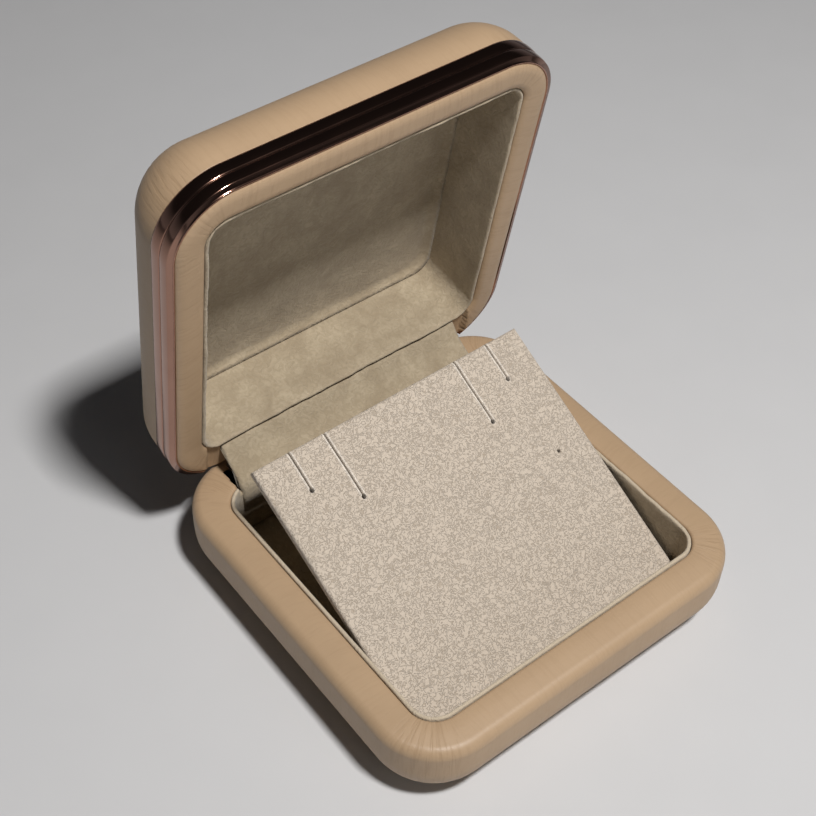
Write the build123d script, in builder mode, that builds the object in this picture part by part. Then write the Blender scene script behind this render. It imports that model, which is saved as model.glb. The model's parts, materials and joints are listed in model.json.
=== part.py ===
from build123d import *
from math import cos, radians, sin, tan
import os

os.makedirs("parts", exist_ok=True)

# Driving dimensions, in millimetres. Z is up, the hinge is at the back (+Y).
# The box stands on Z = 0; the lid is drawn shut and then turned open.
WIDTH = 90.0
DEPTH = 90.0
BASE_HEIGHT = 18.6
LID_HEIGHT = 22.0
CORNER_RADIUS = 14.5
RIM_WIDTH = 8.7
HINGE_RIM_EXTRA = 2.0
SKIN = 1.2
SEAM = 0.05
RIM_GAP = 0.3
WELL_DEPTH = 14.7
WELL_RADIUS = 5.1
LID_WELL_DEPTH = 17.8
LID_WELL_RADIUS = 4.2
LINING = 0.95
LINING_PANEL = 0.8
CARD = 0.5
STANDING_GAP = 0.1

# Where the linings start, counted in from the outside of the box.
WALL_INSET = RIM_WIDTH - LINING
LEATHER_EDGE_INSET = WALL_INSET - SEAM
BASE_RIM = BASE_HEIGHT - RIM_GAP / 2
LID_RIM = BASE_HEIGHT + RIM_GAP / 2
BASE_EDGE_ROUND = 4.2
BASE_BOTTOM_ROUND = 10.5
TRAY_COVE = 1.2
UNDERSIDE_INSET = 11.0

# Hinge at the back: axis, knuckles and the notch that both halves have for it.
HINGE_Y = 42.45
HINGE_Z = BASE_HEIGHT + 0.7
LID_OPEN = 80.0
KNUCKLE_RADIUS = 1.3
PIN_RADIUS = 0.75
PIN_CLEARANCE = 0.05
LEAF_THICKNESS = 0.8
LEAF_CLEARANCE = 0.15
LEAF_FRONT_Y = 36.4
LEAF_HALF_WIDTH = 31.0
NOTCH_HALF_WIDTH = 34.0
LID_NOTCH_HALF_WIDTH = 36.0
BASE_NOTCH_Z = HINGE_Z - KNUCKLE_RADIUS - LEAF_CLEARANCE - LEAF_THICKNESS
LID_NOTCH_Z = HINGE_Z + KNUCKLE_RADIUS + LEAF_CLEARANCE + LEAF_THICKNESS
RIVET_X = (-25.0, -9.0, 9.0, 25.0)
RIVET_Y = 38.8
RIVET_RADIUS = 0.8
RIVET_HEAD_RADIUS = 1.5
RIVET_HEAD = 0.45
RIVET_LENGTH = 3.6

# Metal band round the lid.
BAND_FLANGE_Z = BASE_HEIGHT + 0.7
BAND_LOWER_Z = BASE_HEIGHT + 1.9
BAND_GROOVE_Z = BASE_HEIGHT + 4.0
BAND_TOP_Z = BASE_HEIGHT + 6.5
BAND_FLANGE_INSET = 0.8
BAND_GROOVE_INSET = 0.45
BAND_BACK_INSET = 1.45

# Crown of the lid.
CROWN_INSET = 0.3
CROWN_ROUND = 13.0
LID_COVE = 2.5
CROWN_BOTTOM_Z = BAND_TOP_Z + SEAM
SHELL_INSET = 1.5
RIM_LEATHER_INSET = 1.5
RIM_LEATHER_ROUND = 1.0

# Tilted jewellery pad.
PAD_WIDTH = 70.7
PAD_LENGTH = 66.8
PAD_TILT = 26.8
PAD_FRONT_Y = -35.0
PAD_Z = BASE_HEIGHT - WELL_DEPTH + STANDING_GAP
PAD_BACKING = 0.3
PAD_BOARD = 1.0
PAD_THICKNESS = 2.0
PAD_BACKING_EDGE = 0.8
PAD_BOARD_EDGE = 0.5
PAD_CLOTH = 0.45
PAD_FRONT_RADIUS = 4.5
SLIT_WIDTH = 0.6
INNER_SLIT = (17.5, 15.9)
OUTER_SLIT = (26.5, 9.4)
SLIT_HOLE_RADIUS = 0.6
STUD_HOLE = (27.2, 28.8)
STUD_HOLE_RADIUS = 0.4

BACK_Y = DEPTH / 2
WELL_BACK_Y = BACK_Y - RIM_WIDTH - HINGE_RIM_EXTRA
NOTCH_DEPTH = RIM_WIDTH + HINGE_RIM_EXTRA


def outer_plan(inset, mode=Mode.ADD):
    """Draws the outside plan, drawn in by inset with its corners concentric."""
    RectangleRounded(WIDTH - 2 * inset, DEPTH - 2 * inset, CORNER_RADIUS - inset, mode=mode)


def well_plan(inset, radius, mode=Mode.ADD):
    """Draws the well's plan; the rim is wider at the hinge, and radius is at the lining."""
    with Locations((0, -HINGE_RIM_EXTRA / 2)):
        RectangleRounded(WIDTH - 2 * inset, DEPTH - HINGE_RIM_EXTRA - 2 * inset,
                         radius + RIM_WIDTH - inset, mode=mode)


def base_notch(depth):
    """Cuts the hinge's notch in a base part, to a depth in from the back."""
    with Locations((0, BACK_Y, BASE_NOTCH_Z)):
        Box(2 * NOTCH_HALF_WIDTH, 2 * depth, BASE_HEIGHT,
            align=(Align.CENTER, Align.CENTER, Align.MIN), mode=Mode.SUBTRACT)


def lid_notch(depth):
    """Cuts the hinge's notch in a lid part that is drawn shut."""
    with Locations((0, BACK_Y, LID_NOTCH_Z)):
        Box(2 * LID_NOTCH_HALF_WIDTH, 2 * depth, BASE_HEIGHT,
            align=(Align.CENTER, Align.CENTER, Align.MAX), mode=Mode.SUBTRACT)


# Space inside the tray, with a small cove at its foot
base_floor_z = BASE_HEIGHT - WELL_DEPTH
card_z = base_floor_z - LINING_PANEL
tray_floor_z = card_z - CARD
with BuildPart() as tray_space:
    with BuildSketch(Plane.XY.offset(tray_floor_z)):
        well_plan(WALL_INSET, WELL_RADIUS)
    extrude(amount=BASE_HEIGHT)
    fillet(tray_space.faces().sort_by(Axis.Z)[0].edges(), TRAY_COVE)

# Rigid tray of the base
with BuildPart() as base_shell:
    with BuildSketch(Plane.XY.offset(SKIN + SEAM)):
        outer_plan(SKIN + SEAM)
    extrude(amount=BASE_RIM - 2 * SKIN - 2 * SEAM)
    fillet(base_shell.faces().sort_by(Axis.Z)[-1].edges(), BASE_EDGE_ROUND - SKIN - SEAM)
    fillet(base_shell.faces().sort_by(Axis.Z)[0].edges(), BASE_BOTTOM_ROUND - SKIN - SEAM)
    add(tray_space.part, mode=Mode.SUBTRACT)
    base_notch(NOTCH_DEPTH)
    with Locations(*[(x, RIVET_Y, BASE_NOTCH_Z) for x in RIVET_X]):
        Cylinder(RIVET_RADIUS, 2 * RIVET_LENGTH, mode=Mode.SUBTRACT)
base_shell.part.label = "base_shell"
export_step(base_shell.part, "parts/base_shell.step")

# Space under the leather of the base
with BuildPart() as base_core:
    with BuildSketch(Plane.XY.offset(SKIN)):
        outer_plan(SKIN)
    extrude(amount=BASE_RIM - 2 * SKIN)
    fillet(base_core.faces().sort_by(Axis.Z)[-1].edges(), BASE_EDGE_ROUND - SKIN)
    fillet(base_core.faces().sort_by(Axis.Z)[0].edges(), BASE_BOTTOM_ROUND - SKIN)

# Leather skin of the base, rim to underside
with BuildPart() as base_leather:
    with BuildSketch(Plane.XY):
        outer_plan(0)
    extrude(amount=BASE_RIM)
    fillet(base_leather.faces().sort_by(Axis.Z)[-1].edges(), BASE_EDGE_ROUND)
    fillet(base_leather.faces().sort_by(Axis.Z)[0].edges(), BASE_BOTTOM_ROUND)
    add(base_core.part, mode=Mode.SUBTRACT)
    with BuildSketch(Plane.XY.offset(BASE_HEIGHT / 2)):
        well_plan(LEATHER_EDGE_INSET, WELL_RADIUS)
    extrude(amount=BASE_HEIGHT, mode=Mode.SUBTRACT)
    with BuildSketch(Plane.XY):
        outer_plan(UNDERSIDE_INSET)
    extrude(amount=BASE_HEIGHT / 2, mode=Mode.SUBTRACT)
    base_notch(NOTCH_DEPTH)
base_leather.part.label = "base_leather"
export_step(base_leather.part, "parts/base_leather.step")

# Cover panel under the base
with BuildPart() as base_bottom_cover:
    with BuildSketch(Plane.XY):
        outer_plan(UNDERSIDE_INSET + SEAM)
    extrude(amount=SKIN - SEAM)
base_bottom_cover.part.label = "base_bottom_cover"
export_step(base_bottom_cover.part, "parts/base_bottom_cover.step")

# Card on the tray floor
with BuildPart() as base_floor_card:
    with BuildSketch(Plane.XY.offset(tray_floor_z)):
        well_plan(WALL_INSET + TRAY_COVE, WELL_RADIUS)
    extrude(amount=card_z - tray_floor_z)
base_floor_card.part.label = "base_floor_card"
export_step(base_floor_card.part, "parts/base_floor_card.step")

# Suede on the floor of the well
with BuildPart() as base_floor_lining:
    with BuildSketch(Plane.XY.offset(card_z)):
        well_plan(RIM_WIDTH + SEAM, WELL_RADIUS)
    extrude(amount=base_floor_z - card_z)
base_floor_lining.part.label = "base_floor_lining"
export_step(base_floor_lining.part, "parts/base_floor_lining.step")

# Suede wall of the well, its lip level with the leather
wall_foot_z = tray_floor_z + TRAY_COVE
with BuildPart() as base_wall_lining:
    with BuildSketch(Plane.XY.offset(wall_foot_z)):
        well_plan(WALL_INSET, WELL_RADIUS)
        well_plan(RIM_WIDTH, WELL_RADIUS, Mode.SUBTRACT)
    extrude(amount=BASE_RIM - SEAM - wall_foot_z)
    base_notch(NOTCH_DEPTH + LINING)
base_wall_lining.part.label = "base_wall_lining"
export_step(base_wall_lining.part, "parts/base_wall_lining.step")

# Hinge: steel leaf on the base with its two knuckles
hinge_axis = Axis((0, HINGE_Y, HINGE_Z), (1, 0, 0))
pin_plane = Plane(origin=(0, HINGE_Y, HINGE_Z), x_dir=(0, 1, 0), z_dir=(1, 0, 0))
base_knuckles = ((-30.0, -18.0), (18.0, 30.0))
lid_knuckles = ((-17.7, -8.0), (8.0, 17.7))
with BuildPart() as hinge_base_leaf:
    with Locations((0, (LEAF_FRONT_Y + HINGE_Y) / 2, BASE_NOTCH_Z)):
        Box(2 * LEAF_HALF_WIDTH, HINGE_Y - LEAF_FRONT_Y, LEAF_THICKNESS,
            align=(Align.CENTER, Align.CENTER, Align.MIN))
    for x0, x1 in base_knuckles:
        with Locations(((x0 + x1) / 2, HINGE_Y - KNUCKLE_RADIUS / 2, BASE_NOTCH_Z)):
            Box(x1 - x0, KNUCKLE_RADIUS, HINGE_Z - BASE_NOTCH_Z,
                align=(Align.CENTER, Align.CENTER, Align.MIN))
        with BuildSketch(pin_plane.offset(x0)):
            Circle(KNUCKLE_RADIUS)
        extrude(amount=x1 - x0)
    with BuildSketch(pin_plane.offset(-LEAF_HALF_WIDTH)):
        Circle(PIN_RADIUS + PIN_CLEARANCE)
    extrude(amount=2 * LEAF_HALF_WIDTH, mode=Mode.SUBTRACT)
    with Locations(*[(x, RIVET_Y, BASE_NOTCH_Z) for x in RIVET_X]):
        Cylinder(RIVET_RADIUS, RIVET_LENGTH, mode=Mode.SUBTRACT)
hinge_base_leaf.part.label = "hinge_base_leaf"
export_step(hinge_base_leaf.part, "parts/hinge_base_leaf.step")

# Hinge pin
PIN_HALF_LENGTH = 30.6
with BuildPart() as hinge_pin:
    with BuildSketch(pin_plane.offset(-PIN_HALF_LENGTH)):
        Circle(PIN_RADIUS)
    extrude(amount=2 * PIN_HALF_LENGTH)
hinge_pin.part.label = "hinge_pin"
export_step(hinge_pin.part, "parts/hinge_pin.step")

# Torsion spring round the pin, between the lid's knuckles
SPRING_WIRE = 0.2
SPRING_RADIUS = 1.02
SPRING_PITCH = 0.9
SPRING_HALF_LENGTH = 7.2
with BuildPart() as hinge_spring:
    with BuildLine() as coil:
        Helix(SPRING_PITCH, 2 * SPRING_HALF_LENGTH, SPRING_RADIUS,
              center=(-SPRING_HALF_LENGTH, HINGE_Y, HINGE_Z), direction=(1, 0, 0))
    with BuildSketch(Plane(origin=coil.line @ 0, z_dir=coil.line % 0)):
        Circle(SPRING_WIRE)
    sweep(path=coil.line, is_frenet=True)
hinge_spring.part.label = "hinge_spring"
export_step(hinge_spring.part, "parts/hinge_spring.step")

# Rivets that hold the leaf to the base
with BuildPart() as hinge_base_rivets:
    with Locations(*[(x, RIVET_Y, BASE_NOTCH_Z + LEAF_THICKNESS) for x in RIVET_X]):
        Cylinder(RIVET_HEAD_RADIUS, RIVET_HEAD, align=(Align.CENTER, Align.CENTER, Align.MIN))
        Cylinder(RIVET_RADIUS, RIVET_LENGTH, align=(Align.CENTER, Align.CENTER, Align.MAX))
hinge_base_rivets.part.label = "hinge_base_rivets"
export_step(hinge_base_rivets.part, "parts/hinge_base_rivets.step")

# Suede strip that crosses from the base lining to the lid lining
COVER_HALF_WIDTH = 32.2
COVER_THICKNESS = 0.7
COVER_TAB = 5.0
COVER_LID_GAP = 0.3
cover_y = WELL_BACK_Y - SEAM - COVER_THICKNESS / 2
tab_top_z = BASE_RIM - SEAM
lid_point = (cover_y - COVER_LID_GAP - HINGE_Y, LID_RIM + SEAM - HINGE_Z)
open_y = HINGE_Y + lid_point[0] * cos(radians(LID_OPEN)) + lid_point[1] * sin(radians(LID_OPEN))
open_z = HINGE_Z - lid_point[0] * sin(radians(LID_OPEN)) + lid_point[1] * cos(radians(LID_OPEN))
tab_end_y = open_y + COVER_TAB * sin(radians(LID_OPEN))
tab_end_z = open_z + COVER_TAB * cos(radians(LID_OPEN))
side_plane = Plane(origin=(-COVER_HALF_WIDTH, 0, 0), x_dir=(0, 1, 0), z_dir=(1, 0, 0))
with BuildPart() as hinge_cover:
    with BuildSketch(side_plane):
        with BuildLine():
            strip = Polyline((cover_y, tab_top_z - COVER_TAB), (cover_y, tab_top_z),
                             (open_y, open_z), (tab_end_y, tab_end_z))
            offset(strip, amount=COVER_THICKNESS / 2, side=Side.BOTH)
        make_face()
    extrude(amount=2 * COVER_HALF_WIDTH)
hinge_cover.part.label = "hinge_cover"
export_step(hinge_cover.part, "parts/hinge_cover.step")

# Heights in the lid, from its rim to its top
lid_top_z = BASE_HEIGHT + LID_HEIGHT
shell_bottom_z = LID_RIM + SKIN + SEAM
FOAM = 0.6
top_lining_z = BASE_HEIGHT + LID_WELL_DEPTH
foam_z = top_lining_z + LINING_PANEL
shell_ceiling_z = foam_z + FOAM
# Space inside the lid, with a cove at its ceiling
with BuildPart() as lid_space:
    with BuildSketch(Plane.XY.offset(shell_bottom_z)):
        well_plan(WALL_INSET, LID_WELL_RADIUS)
    extrude(amount=shell_ceiling_z - shell_bottom_z)
    fillet(lid_space.faces().sort_by(Axis.Z)[-1].edges(), LID_COVE)

# Rigid shell of the lid
with BuildPart() as lid_shell:
    with BuildSketch(Plane.XY.offset(shell_bottom_z)):
        outer_plan(SHELL_INSET + SEAM)
    extrude(amount=lid_top_z - SKIN - SEAM - shell_bottom_z)
    fillet(lid_shell.faces().sort_by(Axis.Z)[-1].edges(), CROWN_ROUND - SKIN - SEAM)
    add(lid_space.part, mode=Mode.SUBTRACT)
    lid_notch(NOTCH_DEPTH)
    with Locations(*[(x, RIVET_Y, LID_NOTCH_Z) for x in RIVET_X]):
        Cylinder(RIVET_RADIUS, 2 * RIVET_LENGTH, mode=Mode.SUBTRACT)
lid_shell_open = lid_shell.part.rotate(hinge_axis, -LID_OPEN)
lid_shell_open.label = "lid_shell"
export_step(lid_shell_open, "parts/lid_shell.step")

# Space under the leather of the crown
with BuildPart() as crown_core:
    with BuildSketch(Plane.XY.offset(shell_bottom_z)):
        outer_plan(SHELL_INSET)
    extrude(amount=lid_top_z - SKIN - shell_bottom_z)
    fillet(crown_core.faces().sort_by(Axis.Z)[-1].edges(), CROWN_ROUND - SKIN)

# Leather over the crown of the lid
with BuildPart() as lid_crown_leather:
    with BuildSketch(Plane.XY.offset(CROWN_BOTTOM_Z)):
        outer_plan(CROWN_INSET)
    extrude(amount=lid_top_z - CROWN_BOTTOM_Z)
    fillet(lid_crown_leather.faces().sort_by(Axis.Z)[-1].edges(), CROWN_ROUND)
    add(crown_core.part, mode=Mode.SUBTRACT)
crown_open = lid_crown_leather.part.rotate(hinge_axis, -LID_OPEN)
crown_open.label = "lid_crown_leather"
export_step(crown_open, "parts/lid_crown_leather.step")

# Polished metal band: a recessed flange and two raised facets with a groove between
band_levels = ((BAND_FLANGE_Z, BAND_LOWER_Z, BAND_FLANGE_INSET),
               (BAND_LOWER_Z, BAND_GROOVE_Z, 0.0), (BAND_GROOVE_Z, BAND_TOP_Z, 0.0))
with BuildPart() as lid_band:
    for z0, z1, inset in band_levels:
        with BuildSketch(Plane.XY.offset(z0)):
            outer_plan(inset)
            outer_plan(BAND_BACK_INSET, Mode.SUBTRACT)
        extrude(amount=z1 - z0)
    with BuildSketch(Plane.XY.offset(BAND_GROOVE_Z - BAND_GROOVE_INSET / 2)):
        outer_plan(0)
        outer_plan(BAND_GROOVE_INSET, Mode.SUBTRACT)
    extrude(amount=BAND_GROOVE_INSET, mode=Mode.SUBTRACT)
    lid_notch(NOTCH_DEPTH)
band_open = lid_band.part.rotate(hinge_axis, -LID_OPEN)
band_open.label = "lid_band"
export_step(band_open, "parts/lid_band.step")

# Leather on the rim face of the lid
with BuildPart() as lid_rim_leather:
    with BuildSketch(Plane.XY.offset(LID_RIM)):
        outer_plan(RIM_LEATHER_INSET)
    extrude(amount=SKIN)
    fillet(lid_rim_leather.faces().sort_by(Axis.Z)[0].edges(), RIM_LEATHER_ROUND)
    with BuildSketch(Plane.XY.offset(LID_RIM)):
        well_plan(LEATHER_EDGE_INSET, LID_WELL_RADIUS)
    extrude(amount=SKIN, mode=Mode.SUBTRACT)
    lid_notch(NOTCH_DEPTH)
    with Locations((0, 0, LID_RIM + SKIN)):
        Box(WIDTH, DEPTH, SKIN, align=(Align.CENTER, Align.CENTER, Align.MIN), mode=Mode.SUBTRACT)
rim_open = lid_rim_leather.part.rotate(hinge_axis, -LID_OPEN)
rim_open.label = "lid_rim_leather"
export_step(rim_open, "parts/lid_rim_leather.step")

# Suede wall of the lid
with BuildPart() as lid_wall_lining:
    with BuildSketch(Plane.XY.offset(LID_RIM + SEAM)):
        well_plan(WALL_INSET, LID_WELL_RADIUS)
        well_plan(RIM_WIDTH, LID_WELL_RADIUS, Mode.SUBTRACT)
    extrude(amount=shell_ceiling_z - LID_COVE - SEAM - LID_RIM)
    lid_notch(NOTCH_DEPTH + LINING)
wall_open = lid_wall_lining.part.rotate(hinge_axis, -LID_OPEN)
wall_open.label = "lid_wall_lining"
export_step(wall_open, "parts/lid_wall_lining.step")

# Suede panel at the top of the lid's inside
with BuildPart() as lid_top_lining:
    with BuildSketch(Plane.XY.offset(top_lining_z)):
        well_plan(RIM_WIDTH + SEAM, LID_WELL_RADIUS)
    extrude(amount=foam_z - top_lining_z)
panel_open = lid_top_lining.part.rotate(hinge_axis, -LID_OPEN)
panel_open.label = "lid_top_lining"
export_step(panel_open, "parts/lid_top_lining.step")

# Thin foam behind that panel
with BuildPart() as lid_top_foam:
    with BuildSketch(Plane.XY.offset(foam_z)):
        well_plan(WALL_INSET + LID_COVE, LID_WELL_RADIUS + LID_COVE)
    extrude(amount=FOAM)
foam_open = lid_top_foam.part.rotate(hinge_axis, -LID_OPEN)
foam_open.label = "lid_top_foam"
export_step(foam_open, "parts/lid_top_foam.step")

# Hinge: steel leaf on the lid with its two knuckles
leaf_bottom_z = LID_NOTCH_Z - LEAF_THICKNESS
with BuildPart() as hinge_lid_leaf:
    with Locations((0, (LEAF_FRONT_Y + HINGE_Y) / 2, leaf_bottom_z)):
        Box(2 * LEAF_HALF_WIDTH, HINGE_Y - LEAF_FRONT_Y, LEAF_THICKNESS,
            align=(Align.CENTER, Align.CENTER, Align.MIN))
    for x0, x1 in lid_knuckles:
        with Locations(((x0 + x1) / 2, HINGE_Y - KNUCKLE_RADIUS / 2, HINGE_Z)):
            Box(x1 - x0, KNUCKLE_RADIUS, LID_NOTCH_Z - HINGE_Z,
                align=(Align.CENTER, Align.CENTER, Align.MIN))
        with BuildSketch(pin_plane.offset(x0)):
            Circle(KNUCKLE_RADIUS)
        extrude(amount=x1 - x0)
    with BuildSketch(pin_plane.offset(-LEAF_HALF_WIDTH)):
        Circle(PIN_RADIUS + PIN_CLEARANCE)
    extrude(amount=2 * LEAF_HALF_WIDTH, mode=Mode.SUBTRACT)
    with Locations(*[(x, RIVET_Y, LID_NOTCH_Z) for x in RIVET_X]):
        Cylinder(RIVET_RADIUS, RIVET_LENGTH, mode=Mode.SUBTRACT)
leaf_open = hinge_lid_leaf.part.rotate(hinge_axis, -LID_OPEN)
leaf_open.label = "hinge_lid_leaf"
export_step(leaf_open, "parts/hinge_lid_leaf.step")

# Rivets that hold the leaf to the lid
with BuildPart() as hinge_lid_rivets:
    with Locations(*[(x, RIVET_Y, leaf_bottom_z) for x in RIVET_X]):
        Cylinder(RIVET_HEAD_RADIUS, RIVET_HEAD, align=(Align.CENTER, Align.CENTER, Align.MAX))
        Cylinder(RIVET_RADIUS, RIVET_LENGTH, align=(Align.CENTER, Align.CENTER, Align.MIN))
rivets_open = hinge_lid_rivets.part.rotate(hinge_axis, -LID_OPEN)
rivets_open.label = "hinge_lid_rivets"
export_step(rivets_open, "parts/hinge_lid_rivets.step")

# Pad pieces are drawn flat and then tilted about their lower front edge
pad_axis = Axis((0, PAD_FRONT_Y, PAD_Z), (1, 0, 0))
pad_back_y = PAD_FRONT_Y + PAD_LENGTH
pad_layers = (("pad_backing", 0.0, PAD_BACKING, PAD_BACKING_EDGE),
              ("pad_board", PAD_BACKING + SEAM, PAD_BACKING + PAD_BOARD, PAD_BOARD_EDGE),
              ("pad_suede", 0.0, PAD_THICKNESS, 0.0))


def pad_outline(edge):
    """Draws the flat pad's outline, drawn in by edge: round at the front, square at the back."""
    with Locations((0, PAD_FRONT_Y + PAD_LENGTH / 2)):
        Rectangle(PAD_WIDTH - 2 * edge, PAD_LENGTH - 2 * edge)
    fillet(vertices().group_by(Axis.Y)[0], PAD_FRONT_RADIUS - edge)


for name, low, high, edge in pad_layers:
    with BuildPart() as pad_piece:
        with BuildSketch(Plane.XY.offset(PAD_Z + low)):
            pad_outline(edge)
        extrude(amount=high - low)
        if name == "pad_suede":
            with BuildSketch(Plane.XY.offset(PAD_Z)):
                pad_outline(PAD_CLOTH)
            extrude(amount=PAD_BACKING + PAD_BOARD + SEAM, mode=Mode.SUBTRACT)
        for x, length in (INNER_SLIT, OUTER_SLIT):
            with Locations((-x, pad_back_y - length, PAD_Z), (x, pad_back_y - length, PAD_Z)):
                Box(SLIT_WIDTH, length + PAD_THICKNESS, 4 * PAD_THICKNESS,
                    align=(Align.CENTER, Align.MIN, Align.CENTER), mode=Mode.SUBTRACT)
                Cylinder(SLIT_HOLE_RADIUS, 4 * PAD_THICKNESS, mode=Mode.SUBTRACT)
        with Locations((STUD_HOLE[0], pad_back_y - STUD_HOLE[1], PAD_Z)):
            Cylinder(STUD_HOLE_RADIUS, 4 * PAD_THICKNESS, mode=Mode.SUBTRACT)
    tilted = pad_piece.part.rotate(pad_axis, PAD_TILT)
    tilted.label = name
    export_step(tilted, "parts/" + name + ".step")

# Folding leg under the pad
LEG_WIDTH = 38.0
LEG_THICKNESS = 1.2
LEG_Y = 16.5
LEG_ROUND = 2.0
LEG_PAD_GAP = 0.4
leg_foot_z = base_floor_z + STANDING_GAP
leg_top_z = PAD_Z + (LEG_Y - PAD_FRONT_Y) * tan(radians(PAD_TILT)) - LEG_PAD_GAP
with BuildPart() as pad_leg:
    with Locations((0, LEG_Y, leg_foot_z)):
        Box(LEG_WIDTH, LEG_THICKNESS, leg_top_z - leg_foot_z,
            align=(Align.CENTER, Align.MIN, Align.MIN))
    fillet(pad_leg.edges().filter_by(Axis.Y), LEG_ROUND)
pad_leg.part.label = "pad_leg"
export_step(pad_leg.part, "parts/pad_leg.step")
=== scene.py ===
import json
import math

import bmesh
import bpy
import numpy as np
from mathutils import Matrix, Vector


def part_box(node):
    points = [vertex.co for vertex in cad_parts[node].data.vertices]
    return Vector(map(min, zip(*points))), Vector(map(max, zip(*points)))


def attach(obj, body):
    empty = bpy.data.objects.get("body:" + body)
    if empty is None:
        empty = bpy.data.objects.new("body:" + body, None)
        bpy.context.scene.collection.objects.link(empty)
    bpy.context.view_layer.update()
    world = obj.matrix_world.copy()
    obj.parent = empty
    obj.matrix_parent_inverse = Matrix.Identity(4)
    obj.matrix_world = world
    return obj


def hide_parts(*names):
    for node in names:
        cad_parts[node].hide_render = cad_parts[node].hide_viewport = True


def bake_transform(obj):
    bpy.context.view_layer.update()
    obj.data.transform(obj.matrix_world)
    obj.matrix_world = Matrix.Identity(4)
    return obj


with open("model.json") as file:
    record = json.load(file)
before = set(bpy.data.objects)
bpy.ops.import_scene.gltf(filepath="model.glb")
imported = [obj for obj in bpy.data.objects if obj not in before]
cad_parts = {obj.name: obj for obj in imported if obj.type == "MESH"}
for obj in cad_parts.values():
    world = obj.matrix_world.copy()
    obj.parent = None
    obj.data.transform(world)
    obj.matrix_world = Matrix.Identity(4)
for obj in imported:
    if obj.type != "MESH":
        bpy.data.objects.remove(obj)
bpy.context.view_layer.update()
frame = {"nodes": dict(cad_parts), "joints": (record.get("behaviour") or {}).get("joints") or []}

# The base: a rigid tray wrapped in one piece of thin calf leather.
# The leather is pulled over the outside, rolled over the rim and glued down
# inside it, so it bunches into fine creases at the four corners.
MM = 0.001
leather_low, leather_high = (np.array(v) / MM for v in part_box("base_leather"))
floor_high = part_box("base_floor_lining")[1][2] / MM
half_width = (leather_high[0] - leather_low[0]) / 2
half_depth = (leather_high[1] - leather_low[1]) / 2
seam_gap = 0.15
base_height = leather_high[2] + seam_gap
corner_radius = 14.5
rim_width = 8.7
hinge_rim_extra = 2.0
well_radius = 5.1
lid_well_radius = 4.2
leather_thickness = 1.2
edge_round = 4.2
edge_drop = 0.35
firm_round = 2.5
bottom_round = 10.5
lining_thickness = 0.95
leather_inner = rim_width - lining_thickness - 0.05
notch_half_width = 33.0
lid_notch_half_width = 36.0
hinge = next(j for j in frame["joints"] if j["name"] == "lid_hinge")
hinge_y, hinge_z = (v / MM for v in hinge["pos_m"][1:])
lid_open = math.radians(hinge["range_deg"][1])
base_notch_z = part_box("hinge_base_leaf")[0][2] / MM


def rounded_plan(inset, radius, shift=1.0, corner_points=28, side_points=40):
    """Points round a rectangle with round corners, anticlockwise from the back right.

    inset and radius are arrays, one value per ring. A corner is its centre plus the
    radius times (cos, sin) of an even sweep of 90 degrees; a side is the straight line
    from one arc's end to the next one's start, with a column each side of the notch.
    The back side of a ring near the well stands further in, by a straight ramp from
    the edge round to the lining, because the rim is wider where the hinge is. shift is
    the share of that ramp: 1 for the rim and the lining, 0 for the outside faces.
    """
    inset, radius = np.atleast_1d(inset).astype(float), np.atleast_1d(radius).astype(float)
    extra = shift * hinge_rim_extra * np.clip((inset - edge_round) / (leather_inner - edge_round), 0, 1)
    sweep = np.linspace(0, math.pi / 2, corner_points)
    corners = []
    for quarter, (sx, sy) in enumerate(((1, 1), (-1, 1), (-1, -1), (1, -1))):
        turn = sweep + quarter * math.pi / 2
        cx = sx * (half_width - inset - radius)
        cy = sy * (half_depth - inset - radius) - extra * (sy > 0)
        corners.append(np.stack([cx[:, None] + radius[:, None] * np.cos(turn),
                                 cy[:, None] + radius[:, None] * np.sin(turn)], -1))
    loop = []
    for quarter in range(4):
        start, end = corners[quarter][:, -1], corners[(quarter + 1) % 4][:, 0]
        share = np.linspace(0, 1, side_points)[1:-1]
        if quarter == 0:
            span = start[0, 0] - end[0, 0]
            cuts = [(start[0, 0] - x) / span for x in
                    [side * (half + gap) for side in (1, -1)
                     for half in (notch_half_width, lid_notch_half_width) for gap in (0.15, -0.15)]]
            cuts = [c for c in cuts if 0 < c < 1]
            share = np.sort(np.append(share, cuts))
        line = start[:, None] + share[None, :, None] * (end - start)[:, None]
        loop += [corners[quarter], line]
    return np.concatenate(loop, 1)


def swept(profile, radius_of, shift=1.0):
    """A profile of (inset, height) carried round the rounded plan.

    Row k of the result is the plan drawn in by inset k, with the corner radius that
    radius_of gives for that inset, at height k.
    """
    profile = np.asarray(profile, float)
    flat = rounded_plan(profile[:, 0], radius_of(profile[:, 0]), shift)
    height = np.broadcast_to(profile[:, 1][:, None, None], flat.shape[:2] + (1,))
    return np.concatenate([flat, height], -1)


def outer_radius(inset):
    """Corner radius that keeps the outside corner concentric."""
    return np.maximum(corner_radius - inset, 0.4)


def base_radius(inset):
    """Corner radius falls evenly from the outside corner to the well's."""
    return corner_radius - inset * (corner_radius - well_radius) / rim_width


def arc(centre, radius, start, end, count=9):
    """Points on an arc: centre plus radius times (cos, sin), degrees start to end."""
    turn = np.radians(np.linspace(start, end, count))
    return np.stack([centre[0] + radius * np.cos(turn), centre[1] + radius * np.sin(turn)], -1)


def corner_pull(points):
    """1 on the diagonal of a corner, 0 along the straight sides: how much leather bunches.

    It is a bell of the angle away from the corner's diagonal, seen from the corner's centre.
    """
    x = np.abs(points[..., 0]) - (half_width - corner_radius)
    y = np.abs(points[..., 1]) - (half_depth - corner_radius)
    turn = np.arctan2(np.maximum(y, 0.01), np.maximum(x, 0.01))
    return np.exp(-((turn - math.pi / 4) / 0.62) ** 2) * (np.minimum(x, y) > -4)


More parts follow.
